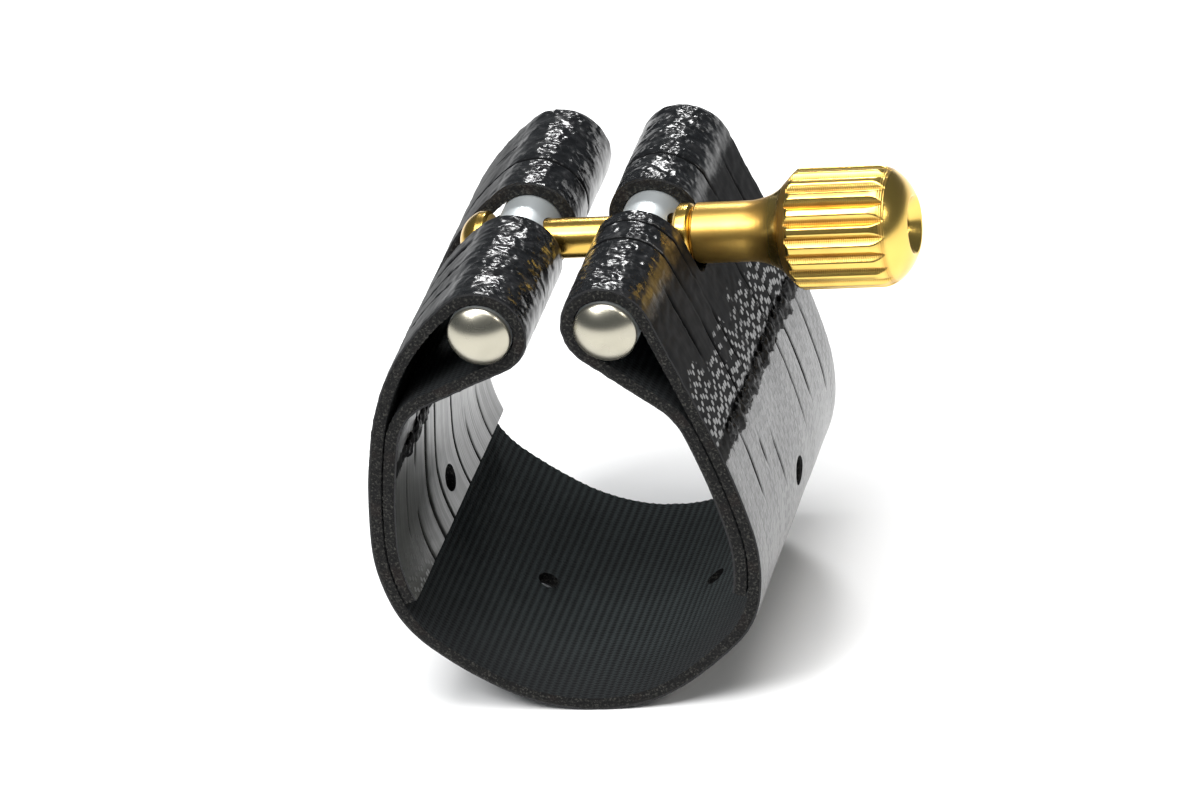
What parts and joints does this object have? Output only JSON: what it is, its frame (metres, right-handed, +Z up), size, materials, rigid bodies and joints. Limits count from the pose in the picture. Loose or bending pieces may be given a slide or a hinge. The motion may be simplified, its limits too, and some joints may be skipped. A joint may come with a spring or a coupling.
{
  "type": "saxophone ligature",
  "caption": "Coated fabric strap folded round two steel bars and stitched, drawn together by a brass thumb screw to clamp a reed on a mouthpiece.",
  "frame": {"origin": "on the mouthpiece's axis, half way along the strap's width", "axes": "+X along the screw towards the thumb knob, +Y along the mouthpiece's axis, +Z up to the bars"},
  "size_m": [0.0439, 0.031, 0.0393],
  "materials": {
    "coated_fabric": "black coated woven fabric, crinkled gloss outside and matt ribbed weave inside",
    "thread": "black waxed thread",
    "steel": "satin, with polished rounded ends",
    "brass": "polished, with fine turning marks"
  },
  "bodies": {
    "strap": {"strap": "coated_fabric", "left_needle_thread": "thread", "left_bobbin_thread": "thread", "right_needle_thread": "thread", "right_bobbin_thread": "thread"},
    "left_bar": {"left_bar": "steel", "sleeve_nut": "brass"},
    "right_bar": {"right_bar": "steel"},
    "thumb_screw": {"thumb_knob": "brass", "threaded_stud": "brass"},
    "washer": {"thrust_washer": "brass"}
  },
  "joints": [
    {"name": "left_bar_slide", "type": "slide", "parent": "strap", "child": "left_bar", "axis": [1, 0, 0], "range_m": [-0.0014, 0.0012], "deforming": ["strap"]},
    {"name": "right_bar_slide", "type": "slide", "parent": "strap", "child": "right_bar", "axis": [1, 0, 0], "range_m": [-0.00113, 0.00136], "deforming": ["strap"]},
    {"name": "screw_turn", "type": "hinge", "parent": "right_bar", "child": "thumb_screw", "pos_m": [0.0071, 0, 0.0202], "axis": [1, 0, 0], "range_deg": [-1801, 2161], "deforming": ["strap"]},
    {"name": "washer_turn", "type": "hinge", "parent": "right_bar", "child": "washer", "pos_m": [0.0071, 0, 0.0202], "axis": [1, 0, 0], "continuous": true}
  ],
  "couplings": [
    {"joint": "screw_turn", "follows": "right_bar_slide", "rad_per_m": 27679},
    {"joint": "left_bar_slide", "follows": "right_bar_slide", "ratio": -1}
  ]
}
